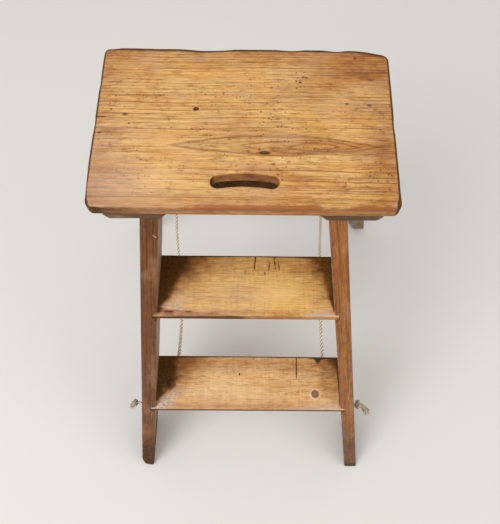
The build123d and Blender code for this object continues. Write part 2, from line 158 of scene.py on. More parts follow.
# Node materials.
class Paint:
    """A material with a Principled shader, and short ways to add nodes to it."""

    def __init__(self, name, axes=None):
        self.material = bpy.data.materials.new(name)
        self.material.use_nodes = True
        self.tree = self.material.node_tree
        self.tree.nodes.clear()
        self.shader = self.tree.nodes.new("ShaderNodeBsdfPrincipled")
        output = self.tree.nodes.new("ShaderNodeOutputMaterial")
        self.tree.links.new(self.shader.outputs[0], output.inputs["Surface"])
        self.place = self.tree.nodes.new("ShaderNodeTexCoord").outputs["Object"]
        if axes is not None:
            turn = axes.to_euler()
            inputs = {"Vector": self.place, "Location": axes.to_translation(), "Rotation": turn}
            self.place = self.node("Mapping", inputs, vector_type="TEXTURE").outputs[0]

    def put(self, socket, value):
        """Links a socket to another, or sets its own value."""
        if isinstance(value, bpy.types.NodeSocket):
            self.tree.links.new(value, socket)
        else:
            socket.default_value = value

    def node(self, kind, inputs, **settings):
        made = self.tree.nodes.new("ShaderNode" + kind)
        for name, value in settings.items():
            setattr(made, name, value)
        for name, value in inputs.items():
            self.put(made.inputs[name], value)
        return made

    def math(self, operation, first, second=0.0, third=0.0):
        inputs = {0: first, 1: second, 2: third}
        return self.node("Math", inputs, operation=operation).outputs[0]

    def times(self, first, second):
        return self.math("MULTIPLY", first, second)

    def scaled(self, value, factor, shift):
        """A value times a factor, plus a shift."""
        return self.math("MULTIPLY_ADD", value, factor, shift)

    def rise(self, value, low, high, to_low=0.0, to_high=1.0):
        """An even slope from to_low, where value is low, to to_high, where it is high."""
        inputs = {"Value": value, "From Min": low, "From Max": high, "To Min": to_low, "To Max": to_high}
        return self.node("MapRange", inputs, interpolation_type="SMOOTHSTEP").outputs["Result"]

    def mix(self, share, first, second, blend="MIX"):
        made = self.tree.nodes.new("ShaderNodeMix")
        made.data_type = "RGBA"
        made.blend_type = blend
        self.put(made.inputs[0], share)
        self.put(made.inputs[6], first)
        self.put(made.inputs[7], second)
        return made.outputs[2]

    def stretched(self, scale, shift):
        """The object's own coordinates, scaled along each axis and shifted."""
        inputs = {0: self.place, 1: scale, 2: shift}
        return self.node("VectorMath", inputs, operation="MULTIPLY_ADD").outputs[0]

    def noise(self, scale, shift, detail=2.0, rough=0.5):
        inputs = {"Vector": self.stretched(scale, shift), "Scale": 1.0, "Detail": detail, "Roughness": rough}
        return self.node("TexNoise", inputs).outputs["Fac"]

    def spots(self, scale, shift):
        """Distance to the nearest of many scattered points, and three numbers for each of them."""
        inputs = {"Vector": self.stretched(scale, shift), "Scale": 1.0}
        made = self.node("TexVoronoi", inputs)
        return made.outputs["Distance"], *self.node("SeparateColor", {0: made.outputs["Color"]}).outputs

    def length(self, first, second):
        return self.math("SQRT", self.scaled(first, first, self.times(second, second)))

    def tinted(self, base, red, green, blue):
        return self.mix(1.0, base, colour(red, green, blue), "MULTIPLY")

    def tone(self, base, pattern, low, high, share, tint):
        """Tints base where a pattern is high, by a share at most."""
        return self.mix(self.rise(pattern, low, high, 0.0, share), base, self.tinted(base, *tint))

    def painted(self, name):
        """A number that the mesh holds at each point."""
        return self.node("Attribute", {}, attribute_name=name).outputs["Fac"]

    def finish(self, base, roughness, height, depth):
        bump = self.node("Bump", {"Height": height, "Strength": 1.0, "Distance": depth})
        self.put(self.shader.inputs["Base Color"], base)
        self.put(self.shader.inputs["Roughness"], roughness)
        self.put(self.shader.inputs["Normal"], bump.outputs[0])
        return self.material


@dataclass
class Timber:
    """How a board's wood looks. early and late are the colours of a year's growth, and ring is its width.
    pith is the place of the rings' middle across and above the board, and its rise along a metre. A knot is
    its place along and across the board, its radius, how dark it is and how clear its pale ring is. Specks
    gather along a line across the board. worn is the colour of its arrises."""

    early: list
    late: list
    pith: tuple = (0.02, -0.05, 0.04)
    ring: float = 0.0045
    wander: float = 1.0
    line: float = 0.65
    mottle: float = 1.0
    specks: float = 0.5
    speck_line: float = 0.0
    speck_reach: float = 0.2
    thread: float = 0.5
    saw: float = 0.0
    knots: tuple = ()
    worn: tuple = (84, 50, 30)


# How year rings bend round a knot, in knot radii: the bend's stretch along the grain, its reach and depth.
BEND_STRETCH = 3.6
BEND_REACH = 2.6
BEND_DEPTH = 1.5


def ring_figure(paint, timber, seed):
    """Shares of late wood, of knots, of the pale rings round knots and of their paler hearts."""
    along, across, up = paint.node("SeparateXYZ", {0: paint.place}).outputs
    drift = 0.02 * timber.wander
    sway = paint.scaled(paint.noise((5, 0, 0), (seed, 3, 0)), drift, timber.pith[0] - drift / 2)
    sink = paint.scaled(paint.noise((6, 0, 0), (seed, 9, 0)), drift, timber.pith[1] - drift / 2)
    sink = paint.scaled(along, timber.pith[2], sink)
    radius = paint.length(paint.math("SUBTRACT", across, sway), paint.math("SUBTRACT", up, sink))
    ripple = paint.noise((9, 70, 70), (seed, 0, 5), detail=3)
    radius = paint.scaled(ripple, 0.004 * timber.wander, radius)
    knot_share = knot_ring = knot_heart = 0.0
    for knot_along, knot_across, size, dark, halo in timber.knots:
        run = paint.math("SUBTRACT", along, knot_along)
        side = paint.math("SUBTRACT", across, knot_across)
        eye = paint.length(paint.math("DIVIDE", run, BEND_STRETCH * size), paint.math("DIVIDE", side, size))
        radius = paint.scaled(paint.rise(eye, 0.0, BEND_REACH, 1.0, 0.0), BEND_DEPTH * size, radius)
        wide = paint.math("DIVIDE", paint.length(run, side), size)
        wide = paint.scaled(ripple, 0.4, paint.math("SUBTRACT", wide, 0.2))
        knot_share = paint.math("MAXIMUM", knot_share, paint.rise(wide, 0.75, 1.05, dark, 0.0))
        pale = paint.times(paint.rise(wide, 0.9, 1.1), paint.rise(wide, 1.25, 1.55, halo, 0.0))
        knot_ring = paint.math("MAXIMUM", knot_ring, pale)
        knot_heart = paint.math("MAXIMUM", knot_heart, paint.rise(wide, 0.3, 0.8, 0.85 * halo, 0.0))
    years = paint.math("DIVIDE", radius, timber.ring)
    turn = paint.math("FRACT", years)
    late = paint.times(paint.rise(turn, 0.62, 0.88), paint.rise(turn, 0.92, 1.0, 1.0, 0.0))
    number = paint.math("FLOOR", years)
    year = paint.node("TexWhiteNoise", {"W": number}, noise_dimensions="1D").outputs["Value"]
    late = paint.times(late, paint.rise(year, 0.0, 1.0, 0.3, 1.0))
    return late, knot_share, knot_ring, knot_heart


# Kinds of speck: how many cells a metre holds along, across and through the board, the least and the greatest
# radius in cells, and the share of cells that stay empty.
SPECK_KINDS = (
    ((190, 230, 230), 0.16, 0.4, 0.55),
    ((84, 105, 105), 0.13, 0.36, 0.3),
    ((34, 46, 46), 0.07, 0.19, 0.3),
    ((70, 200, 200), 0.12, 0.34, 0.55),
)


def speck_figure(paint, timber, seed):
    """Share of wormholes and of short flecks along the grain, thicker in some places than in others."""
    across = paint.node("SeparateXYZ", {0: paint.place}).outputs[1]
    gap = paint.math("ABSOLUTE", paint.math("SUBTRACT", across, timber.speck_line))
    crowd = paint.rise(paint.noise((9, 15, 15), (seed, 8, 3), detail=3), 0.38, 0.56, 0.08, 1.0)
    crowd = paint.times(crowd, paint.rise(gap, 0.6 * timber.speck_reach, timber.speck_reach, 1.0, 0.3))
    rough = paint.noise((500, 700, 700), (seed, 1, 9))
    total = 0.0
    for number, (scale, small, large, rare) in enumerate(SPECK_KINDS):
        gap, pick, size, depth = paint.spots(scale, (seed, 4 * number, 0))
        gap = paint.scaled(paint.math("SUBTRACT", rough, 0.5), 0.5 * large, gap)
        edge = paint.rise(size, 0.0, 1.0, small, large)
        mark = paint.rise(gap, paint.times(edge, 0.4), edge, 1.0, 0.0)
        mark = paint.times(mark, paint.rise(pick, rare, rare + 0.05))
        mark = paint.times(mark, paint.rise(depth, 0.0, 1.0, 0.35, 1.0))
        total = paint.math("MAXIMUM", total, mark)
    return paint.times(total, paint.times(crowd, timber.specks))


def patina(paint, base, timber, grime, seed):
    """Lays over the wood what the mesh holds: old finish, rubbed wood, dust, worn arrises, bare wood,
    silvered wood, dark stains and iron stains. Some of these shares also carry painted shade, painted
    highlights and painted reflection."""
    fine = paint.noise((240, 420, 420), (seed, 3, 5), detail=3, rough=0.6)
    uneven = paint.scaled(grime, 1.1, -0.55)
    # The old finish share is partly painted shade, on side faces and on parts that the light reaches less.
    old = paint.times(paint.painted("old"), paint.rise(grime, 0.2, 0.7, 0.6, 1.0))
    base = paint.mix(old, base, paint.tinted(base, 194, 162, 128))
    base = paint.mix(paint.painted("rubbed"), base, paint.mix(0.6, base, timber.early))
    # The dust tint is dust, and on the stiles' inner faces painted reflection of the floor.
    base = paint.mix(paint.painted("dusty"), base, paint.mix(0.5, base, colour(208, 172, 142)))
    edge = paint.rise(paint.math("ADD", paint.painted("edge"), uneven), 0.3, 0.9)
    base = paint.mix(paint.times(edge, 0.85), base, colour(*timber.worn))
    # The pale share is bare wood, and at the top's front left corner and front arris partly painted
    # highlight.
    pale_share = paint.rise(paint.math("ADD", paint.painted("pale"), uneven), 0.2, 0.85)
    bare_wood_and_highlight = paint.mix(paint.rise(fine, 0.38, 0.62), colour(158, 136, 124), colour(216, 196, 182))
    base = paint.mix(paint.times(pale_share, 0.8), base, bare_wood_and_highlight)
    streaks = paint.noise((14, 260, 260), (seed, 8, 8))
    silver = paint.times(paint.painted("silver"), paint.rise(streaks, 0.35, 0.62, 0.35, 1.0))
    base = paint.mix(silver, base, colour(192, 164, 146))
    # The dark share is stains and dirt, and partly painted shade where the mesh holds it.
    stain_and_shade = paint.rise(paint.scaled(uneven, 0.3, paint.painted("dark")), 0.1, 0.85)
    deep = paint.mix(paint.rise(fine, 0.35, 0.7), colour(56, 34, 8), colour(98, 62, 22))
    stain_and_shade_colour = paint.mix(paint.rise(stain_and_shade, 0.25, 0.85), colour(134, 82, 34), deep)
    base = paint.mix(paint.rise(stain_and_shade, 0.0, 0.7, 0.0, 0.93), base, stain_and_shade_colour)
    rusty = paint.rise(paint.scaled(uneven, 0.6, paint.painted("iron")), 0.2, 0.9)
    base = paint.mix(paint.times(rusty, 0.8), base, colour(62, 54, 50))
    paint.put(paint.shader.inputs["Specular IOR Level"], paint.rise(stain_and_shade, 0.2, 0.9, 0.35, 0.1))
    return base, edge


def wood(name, axes, seed, timber):
    """Old pine with year rings, fine lines along the grain, mottling, specks, knots and patina."""
    paint = Paint(name, axes)
    late, knot_share, knot_ring, knot_heart = ring_figure(paint, timber, seed)
    fade = paint.rise(paint.noise((4, 30, 30), (seed, 5, 1)), 0.32, 0.66, 0.4, 1.0)
    late_share = paint.times(paint.times(late, fade), timber.line)
    fibre = paint.noise((50, 900, 900), (seed, 1, 2), detail=3, rough=0.6)
    thread = paint.noise((6, 360, 360), (seed, 2, 7), rough=0.6)
    pore = paint.noise((45, 620, 620), (seed, 5, 7), rough=0.6)
    saw = paint.noise((240, 14, 14), (seed, 7, 7))
    streak = paint.noise((9, 200, 200), (seed, 2, 4), detail=4, rough=0.65)
    band = paint.noise((3, 42, 42), (seed, 7, 4), detail=3, rough=0.6)
    warm = paint.noise((13, 26, 26), (seed, 4, 6), detail=4, rough=0.6)
    gold = paint.noise((10, 30, 30), (seed, 6, 1), detail=4, rough=0.6)
    rose = paint.noise((12, 24, 24), (seed, 9, 9), detail=3, rough=0.6)
    grime = paint.noise((60, 120, 120), (seed, 6, 8), detail=4, rough=0.65)

    late_share = paint.math("MAXIMUM", late_share, paint.times(paint.painted("figure"), 0.78))
    base = paint.mix(late_share, timber.early, timber.late)
    base = paint.mix(paint.rise(streak, 0.48, 0.72, 0.0, 0.22), base, timber.late)
    base = paint.mix(paint.rise(thread, 0.53, 0.62, 0.0, timber.thread), base, timber.late)
    base = paint.tone(base, pore, 0.52, 0.66, 0.65, (190, 160, 124))
    base = paint.tone(base, saw, 0.5, 0.66, timber.saw, (214, 188, 158))
    base = paint.tone(base, band, 0.42, 0.68, 0.4, (226, 196, 160))
    base = paint.tone(base, warm, 0.5, 0.72, 0.65 * timber.mottle, (216, 184, 144))
    base = paint.tone(base, gold, 0.46, 0.64, 0.7 * timber.mottle, (255, 244, 204))
    rosy = paint.mix(0.5, base, colour(206, 160, 126))
    base = paint.mix(paint.rise(rose, 0.48, 0.64, 0.0, 0.6 * timber.mottle), base, rosy)
    base = paint.tone(base, grime, 0.5, 0.7, 0.5 * timber.mottle, (206, 178, 142))
    base = paint.mix(paint.rise(fibre, 0.3, 0.75, 0.3, 0.0), base, colour(66, 38, 14))
    marks = speck_figure(paint, timber, seed)
    base = paint.mix(paint.times(marks, 0.9), base, colour(62, 38, 16))
    base = paint.mix(knot_ring, base, paint.mix(0.6, base, colour(238, 206, 176)))
    knot_wood = paint.mix(paint.rise(fibre, 0.35, 0.65), colour(62, 34, 26), colour(120, 72, 52))
    base = paint.mix(knot_share, base, knot_wood)
    base = paint.mix(knot_heart, base, colour(158, 118, 102))
    base, edge = patina(paint, base, timber, grime, seed)

    height = paint.scaled(late, 0.3, paint.times(fibre, 0.45))
    height = paint.scaled(marks, -1.3, height)
    height = paint.scaled(grime, 0.5, height)
    rough = paint.rise(paint.scaled(edge, -0.25, grime), 0.2, 0.8, 0.4, 0.62)
    return paint.finish(base, rough, height, 0.5 * MM)


def iron(name, seed, clean, rust, polish=0.45):
    """Hand-worked iron, dark and a little rusty."""
    paint = Paint(name)
    patch = paint.noise((160, 160, 160), (seed, 0, 0), detail=4, rough=0.6)
    grain = paint.noise((900, 900, 900), (0, seed, 0), detail=3)
    base = paint.mix(paint.rise(patch, 0.4, 0.68), clean, rust)
    base = paint.mix(paint.rise(grain, 0.35, 0.75, 0.35, 0.0), base, colour(24, 19, 16))
    rough = paint.rise(patch, 0.35, 0.7, polish, 0.85)
    paint.put(paint.shader.inputs["Metallic"], paint.rise(patch, 0.45, 0.7, 0.85, 0.1))
    height = paint.scaled(grain, 0.4, patch)
    return paint.finish(base, rough, height, 0.4 * MM)


def hemp(name, seed, darkening):
    """Pale rope fibre, with painted shade in the crevices between strands and a share of darker patches."""
    paint = Paint(name)
    patch = paint.noise((120, 120, 120), (seed, 0, 0), detail=3)
    hair = paint.noise((2600, 2600, 2600), (seed, 2, 0), detail=3, rough=0.7)
    groove = paint.painted("groove")
    base = paint.mix(paint.rise(patch, 0.35, 0.7), colour(255, 245, 230), colour(240, 226, 206))
    base = paint.mix(paint.rise(hair, 0.35, 0.7, 0.3, 0.0), base, colour(200, 180, 152))
    # Painted shade in the crevices between strands.
    base = paint.mix(paint.times(groove, 0.9), base, colour(122, 102, 80))
    dirt = paint.rise(patch, 0.3, 0.7, 0.6 * darkening, darkening)
    base = paint.mix(dirt, base, paint.tinted(base, 176, 162, 136))
    height = paint.scaled(patch, 0.3, hair)
    rough = paint.rise(hair, 0.2, 0.8, 0.8, 0.95)
    return paint.finish(base, rough, height, 0.4 * MM)


# Stage: a plain pale floor, a large soft lamp from the left, a weaker one from the right and an even sky.
LAMP_AIM = Vector((0, 0.02, 0.35))


def make_stage():
    half = 7.0
    corners = [(-half, -half, 0), (half, -half, 0), (half, half, 0), (-half, half, 0)]
    mesh = bpy.data.meshes.new("floor")
    mesh.from_pydata(corners, [], [(0, 1, 2, 3)])
    floor = show("floor", mesh)
    paint = Paint("pale_floor")
    paint.put(paint.shader.inputs["Base Color"], colour(222, 220, 218))
    paint.put(paint.shader.inputs["Roughness"], 0.9)
    paint.put(paint.shader.inputs["Specular IOR Level"], 0.1)
    mesh.materials.append(paint.material)
    world = bpy.data.worlds.new("sky")
    world.use_nodes = True
    sky = world.node_tree.nodes["Background"]
    sky.inputs["Color"].default_value = colour(244, 242, 238)
    sky.inputs["Strength"].default_value = 0.82
    bpy.context.scene.world = world
    for name, place, size, power in (
        ("key", (-1.2, -0.9, 2.5), 1.3, 30.0),
        ("fill", (1.9, -0.8, 2.4), 1.8, 13.0),
    ):
        data = bpy.data.lights.new(name, "AREA")
        data.size = size
        data.energy = power
        lamp = bpy.data.objects.new(name, data)
        lamp.location = place
        aim = LAMP_AIM - lamp.location
        lamp.rotation_euler = aim.to_track_quat("-Z", "Y").to_euler()
        bpy.context.collection.objects.link(lamp)
    bpy.context.scene.view_settings.view_transform = "Standard"


make_stage()


# Worn boards.
# How far a point may stand out of a flat face, and the least turn between faces that count as different.
FACE_SLACK = 0.2 * MM
FACE_TURN = math.radians(55)


def outer_planes(mesh):
    """Flat faces that the whole board lies behind, largest first, as outward directions and offsets."""
    areas = {}
    for face in mesh.polygons:
        offset = face.normal.dot(face.center)
        key = tuple(round(part, 3) for part in face.normal) + (round(offset, 4),)
        areas[key] = areas.get(key, 0.0) + face.area
    points = np.array([vertex.co for vertex in mesh.vertices])
    kept = []
    for key in sorted(areas, key=lambda one: -areas[one]):
        normal = Vector(key[:3]).normalized()
        supports = (points @ np.array(normal)).max() < key[3] + FACE_SLACK
        apart = all(abs(normal.angle(other)) > FACE_TURN for other, _ in kept)
        if supports and apart:
            kept.append((normal, key[3]))
    return kept


def board_frame(mesh):
    """A board's own axes, along its grain, across it and through it, with its middle as the origin."""
    planes = outer_planes(mesh)
    up = planes[0][0]
    across = next(normal for normal, _ in planes if abs(normal.dot(up)) < 0.3)
    across = (across - up * across.dot(up)).normalized()
    along = across.cross(up)
    up, across, along = (one * math.copysign(1, max(one, key=abs)) for one in (up, across, along))
    if along.cross(across).dot(up) < 0:
        across = -across
    axes = Matrix((along, across, up)).transposed()
    points = np.array([vertex.co for vertex in mesh.vertices]) @ np.array(axes)
    middle = axes @ Vector((points.min(axis=0) + points.max(axis=0)) / 2)
    return Matrix.Translation(middle) @ axes.to_4x4()


def axes_of(node):
    return board_frame(frame["nodes"][node].data)


def divided(mesh, voxel):
    """A closed copy of a mesh in small even faces."""
    welded = bmesh.new()
    welded.from_mesh(mesh)
    bmesh.ops.remove_doubles(welded, verts=welded.verts, dist=0.01 * MM)
    welded.to_mesh(mesh)
    welded.free()
    rough = show("rough", mesh)
    remesh = rough.modifiers.new("even", "REMESH")
    remesh.mode = "VOXEL"
    remesh.voxel_size = voxel
    remesh.use_smooth_shade = True
    graph = bpy.context.evaluated_depsgraph_get()
    made = bpy.data.meshes.new_from_object(rough.evaluated_get(graph))
    bpy.data.objects.remove(rough)
    return made


def paint_points(mesh, name, values):
    mesh.attributes.new(name, "FLOAT", "POINT").data.foreach_set("value", values.astype(np.float32))


def worn_board(node, material, voxel, radius, seed, shape=None, ease=None):
    """Replaces a CAD board by a worn copy. radius is the usual rounding of its arrises, and ease may change
    it from point to point. shape may move the points further and paint them, in place: it takes points,
    normals and a dict of painted values. Both work in the CAD frame."""
    cad = frame["nodes"][node]
    axes = axes_of(node)
    flat = cad.data.copy()
    flat.transform(axes.inverted())
    planes = outer_planes(flat)
    mesh = divided(flat, voxel)
    count = len(mesh.vertices)
    points = np.zeros(count * 3)
    mesh.vertices.foreach_get("co", points)
    points = points.reshape(-1, 3)
    normals = np.zeros(count * 3)
    mesh.vertex_normals.foreach_get("vector", normals)
    normals = normals.reshape(-1, 3)

    turn = np.array(axes)[:3, :3]
    middle = np.array(axes)[:3, 3]

    # Arrises: a rounding whose radius changes from place to place.
    directions = np.array([normal for normal, _ in planes])
    gaps = np.array([offset for _, offset in planes]) - points @ directions.T
    local_radius = radius * (0.5 + 1.6 * value_noise(points * 28, seed) ** 2)
    if ease:
        local_radius = local_radius * ease(points @ turn.T + middle)
    inside = np.maximum(local_radius[:, None] - gaps, 0)
    length = np.linalg.norm(inside, axis=1)
    push = np.maximum(length - local_radius, 0)
    inward = inside @ directions / np.maximum(length, 1e-9)[:, None]
    points = points - push[:, None] * inward
    nearest_edge = np.sort(gaps, axis=1)[:, 1]
    painted = {"edge": fall(0.0005, 0.006, nearest_edge)}
    for name in ("old", "rubbed", "dusty", "dark", "pale", "silver", "iron", "figure"):
        painted[name] = np.zeros(count)

    # Slow hollows over the faces, always inwards.
    hollow = value_noise(points * (9, 30, 30), seed + 1) * 0.5 * MM
    points = points - normals * hollow[:, None]

    # The board's own wear, and never past the CAD board's box.
    world = points @ turn.T + middle
    if shape:
        shape(world, normals @ turn.T, painted)
    low, high = (np.array(corner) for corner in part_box(node))
    world = np.clip(world, low, high)
    mesh.vertices.foreach_set("co", world.ravel())
    mesh.update()
    for name, values in painted.items():
        paint_points(mesh, name, values)
    board = show(node + "_worn", mesh)
    mesh.materials.clear()
    mesh.materials.append(material)
    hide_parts(node)
    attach(board, cad["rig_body"])


def spot(points, place, half_sizes, soft):
    """1 at a place on a level face, falling to 0 at its half sizes."""
    aside = (points[:, :2] - np.array(place) * MM) / (np.array(half_sizes) * MM)
    return fall(1 - soft, 1, np.hypot(aside[:, 0], aside[:, 1]))


def lens(points, middle, half_length, half_height):
    """A long lens of grain on a level face: 1 on its outline, 0.3 inside it and 0 outside."""
    aside = (points[:, 0] - middle[0] * MM) / (half_length * MM)
    reach = half_height * MM * (1 - aside**2)
    bend = (value_noise(points * (30, 0, 0), 71) - 0.5) * 3 * MM
    inside = reach - np.abs(points[:, 1] - middle[1] * MM + bend)
    near = fall(0.4 * MM, 2.8 * MM, np.abs(inside)) * smooth(-0.1, 0.0, 1 - np.abs(aside))
    return np.maximum(near, 0.3 * smooth(0.0, 2.0 * MM, inside))


TOP_LOW, TOP_HIGH = (np.array(corner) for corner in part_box("top_board"))

# Lenses of grain on the top: the middle and the half sizes of each, in millimetres.
TOP_LENSES = [
    ((46, 76), 153, 16),
    ((82, 75), 86, 10.5),
    ((101, 74), 38, 6.5),
]

# Hollows in the top, a dent, a hole and a split: place, half sizes, softness, depth and how dark each is.
TOP_HOLLOWS = [
    ((29.9, 64.3), (13, 4.0), 0.7, 2.6, 1.1),
    ((-73.9, 141.3), (5.2, 4.8), 0.4, 5.0, 1.0),
    ((-216, 124.5), (13, 1.8), 0.6, 1.5, 1.0),
]

# Patches on the top, by what is painted there: their softness, and the place, half sizes and share of each.
TOP_PATCHES = {
    "dark": (0.9, [
        ((-201, 138), (4.5, 3.5), 0.7), ((-172, 113), (4.5, 3.0), 0.7), ((85, 196), (8, 10), 0.35),
        ((171, 240), (7, 8), 0.6), ((140, 254), (12, 5), 0.6), ((36, 124), (3.5, 3.0), 0.7),
        ((42, 126), (3.0, 3.0), 0.7), ((-20, 254), (5, 5), 0.6), ((93, 74), (6, 2.5), 0.5),
        ((105, 72), (5, 3.0), 0.6), ((111, 77), (7, 2.0), 0.5), ((82, 70), (6, 1.8), 0.45),
        ((57, 62), (4, 3.5), 0.5), ((-214, 96), (9, 6), 0.55),
    ]),
    "old": (1.0, [
        ((200, 206), (30, 14), 0.7), ((140, 182), (34, 16), 0.5), ((155, 220), (80, 50), 0.6),
        ((118, 190), (60, 44), 0.5), ((80, 168), (80, 30), 0.4), ((60, -14), (110, 18), 0.4),
        ((-195, 100), (36, 12), 0.7), ((205, 60), (22, 60), 0.45),
    ]),
    "rubbed": (1.0, [((-120, 22), (55, 30), 0.9), ((-118, 86), (50, 24), 0.8)]),
    "iron": (1.0, [((-180, 129), (8, 5), 1.0), ((188, 150), (8, 5), 1.0)]),
}

# A cluster of pinholes in the top: its middle and spread, how many, and their least and greatest half size.
PINHOLE_PLACE = ((85, 194), (7, 10))
PINHOLES = 16
PINHOLE_SIZE = (1.6, 2.6)


def ease_top(points):
    """The top's lower and front arrises are sharper than the others."""
    upper = smooth(TOP_LOW[2] + 0.008, TOP_LOW[2] + 0.014, points[:, 2])
    front = fall(0.0, 0.02, points[:, 1] - TOP_LOW[1])
    return (0.3 + 0.7 * upper) * (1 - 0.45 * front)


def wear_top(points, normals, painted):
    """The top's worn rear edge and corners, its dents and stains, and its painted shade and highlights."""
    upper = smooth(0.3, 0.7, normals[:, 2])
    x, y = points[:, 0], points[:, 1]
    old, dark, pale = (painted[name] for name in ("old", "dark", "pale"))

    # The rear edge has a dip, a lost right corner and a slight wave, and the front left corner is worn in.
    rear = smooth(TOP_HIGH[1] - 0.05, TOP_HIGH[1], y)
    dip = 3.2 * np.exp(-(((x + 0.066) / 0.026) ** 2)) + 9.0 * smooth(0.16, 0.225, x) ** 1.6
    lost = (dip + 0.6 * value_noise(points * (22, 0, 0), 61)) * MM
    points[:, 1] -= rear * lost
    to_rear = TOP_HIGH[1] - lost - y
    to_front = y - TOP_LOW[1]
    points[:, 0] += 2 * MM * fall(TOP_LOW[0], TOP_LOW[0] + 0.03, x) * fall(0.0, 0.08, to_front)
    to_left = x - TOP_LOW[0]
    to_right = TOP_HIGH[0] - x

    # Old finish along the edges and at the front left, and a silvered left end. The side faces are darker:
    # partly old finish, partly painted shade.
    old += (1 - upper) * 0.95
    dark += (1 - upper) * 0.2
    old += upper * 0.4 * fall(0.0, 0.07, to_left)
    painted["silver"] += upper * 0.4 * fall(0.0, 0.11, to_left) * fall(0.06, 0.2, to_front)
    old += upper * (0.35 * fall(0.0, 0.08, to_rear) + 0.4 * fall(0.002, 0.02, to_rear))
    old += upper * (0.55 * fall(0.0, 0.1, to_right) + 0.4 * fall(0.0, 0.035, to_front))
    front_left = spot(points, (-225, -28), (150, 150), 1.0)
    old += front_left * 0.55
    painted["dusty"] += 0.7 * spot(points, (-150, 2), (100, 70), 1.0)
    dark += front_left * (1 - upper) * 0.4

    # The front arris is reddish, with pale rubbed places behind it that are partly a painted highlight. The
    # rear and end arrises are darker, partly dirt and partly painted shade where they turn from the light,
    # and the board is darker towards its bottom.
    high_face = smooth(TOP_HIGH[2] - 0.01, TOP_HIGH[2] - 0.006, points[:, 2])
    patchy = value_noise(points * (34, 0, 0), 23)
    reddish = 0.6 * fall(0.004, 0.014, to_front) + 0.7 * fall(0.002, 0.006, to_front)
    painted["edge"] = high_face * reddish * smooth(-0.1, 0.5, patchy) * smooth(-0.24, -0.1, x)
    rubbed = smooth(0.004, 0.006, to_front) * fall(0.007, 0.01, to_front) * fall(0.3, 0.8, patchy)
    pale += 0.3 * high_face * rubbed
    end_gap = np.minimum(to_left, to_right) - 0.004 * fall(0.0, 0.03, to_front)
    dark += 0.85 * (fall(0.004, 0.01, to_rear) + fall(0.002, 0.007, end_gap))
    dark += 0.5 * fall(0.0, 0.006, points[:, 2] - TOP_LOW[2])

    # Grain, pinholes, hollows and patches.
    for middle, half_length, half_height in TOP_LENSES:
        outline = upper * lens(points, middle, half_length, half_height)
        painted["figure"] = np.maximum(painted["figure"], outline)
    chance = np.random.default_rng(5)
    for _ in range(PINHOLES):
        place = chance.normal(*PINHOLE_PLACE)
        dark += spot(points, place, chance.uniform(*PINHOLE_SIZE, 2), 0.9) * upper * 0.9
    for place, half_sizes, soft, depth, share in TOP_HOLLOWS:
        hollow = spot(points, place, half_sizes, soft) * upper
        points[:, 2] -= hollow * depth * MM
        dark += hollow * share
    for name, (soft, patches) in TOP_PATCHES.items():
        for place, half_sizes, share in patches:
            painted[name] += spot(points, place, half_sizes, soft) * upper * share

    # Painted shade on the left end wall of the hand slot, a dark rim and a small painted highlight at the
    # front left corner, and a pale spot at the front right corner.
    dark += 0.6 * (1 - upper) * spot(points, (-47, 14), (14, 16), 0.8)
    dark += (0.8 - 0.55 * upper) * spot(points, (-213, -25), (15, 10), 0.8)
    pale += 0.7 * spot(points, (-217, -22), (5, 3), 0.8)
    pale += 0.45 * spot(points, (214, -20), (16, 12), 1.0)


# The treads' own looks, in millimetres but for knots, which are as Timber takes them. The dark ends, old
# finish with painted shade and on the left the left stile's painted shadow, stop at left_edge and right_edge:
# shares from front to rear, and places across. bevel and rear_lost are the wear at the front left and the
# rear right. Cracks and iron stains are places and half sizes, and rubbed wood has a share too. The front is
# silvered to the right of bare_right. front_dark darkens the front faces, partly painted shade.
TREADS = (
    SimpleNamespace(
        node="upper_tread",
        seed=4.1,
        # Lighter than the top's early colour: partly painted light, making up for the shade under the top.
        early=colour(254, 208, 130),
        late=colour(194, 132, 64),
        knots=(),
        cracks=(
            ((15.2, -3), (1.6, 13)), ((13.8, -18), (1.6, 12)), ((49.6, -2), (1.7, 16)),
            ((51.0, -15), (1.4, 12)), ((41.5, -12), (1.4, 8)), ((40.0, -20), (1.4, 7)),
            ((56.5, -10), (1.4, 10)), ((58.0, -19), (1.4, 8)), ((32.5, -30), (1.4, 7)),
        ),
        iron=(),
        rubbed=((58, -68), (75, 44), 1.0),
        left_edge=((0.0, 0.1, 0.38, 0.66, 1.0), (-170, -157, -129, -109, -93)),
        right_edge=((0.1, 0.28, 0.47, 0.65, 1.0), (160, 144, 133, 121, 104)),
        right_dark=0.62, olive=0.0, bevel=18.0, dust=0.5,
        front_dark=0.35, bare_left=0.8, bare_right=80.0, rear_lost=0.0,
    ),
    SimpleNamespace(
        node="lower_tread",
        seed=6.7,
        # Lighter than the top's early colour: partly painted light, making up for the shade under the top.
        early=colour(252, 210, 150),
        late=colour(206, 150, 90),
        knots=((0.1423, -0.0237, 0.0088, 0.82, 0.85), (-0.1657, -0.0048, 0.0125, 0.95, 0.0)),
        cracks=(((103.5, -138), (1.7, 46)), ((-19.6, -155.5), (2.0, 5))),
        iron=(((149.6, -123), (10, 13)), ((150.0, -118), (26, 7))),
        rubbed=((-20, -190), (150, 40), 0.4),
        left_edge=((0.0, 0.12, 0.28, 0.55, 1.0), (-204, -194, -180, -155, -139)),
        right_edge=((0.0, 0.5, 0.8, 1.0), (210, 203, 180, 156)),
        right_dark=0.75, olive=1.0, bevel=2.0, dust=0.35,
        front_dark=0.85, bare_left=1.2, bare_right=60.0, rear_lost=0.6,
    ),
)


def stile_gap(level):
    """How far from the middle the stiles' inner faces stand at a level."""
    planes = outer_planes(frame["nodes"]["front_stile_right"].data)
    normal, offset = min(planes, key=lambda plane: plane[0].x)
    return (offset - normal.z * level) / normal.x


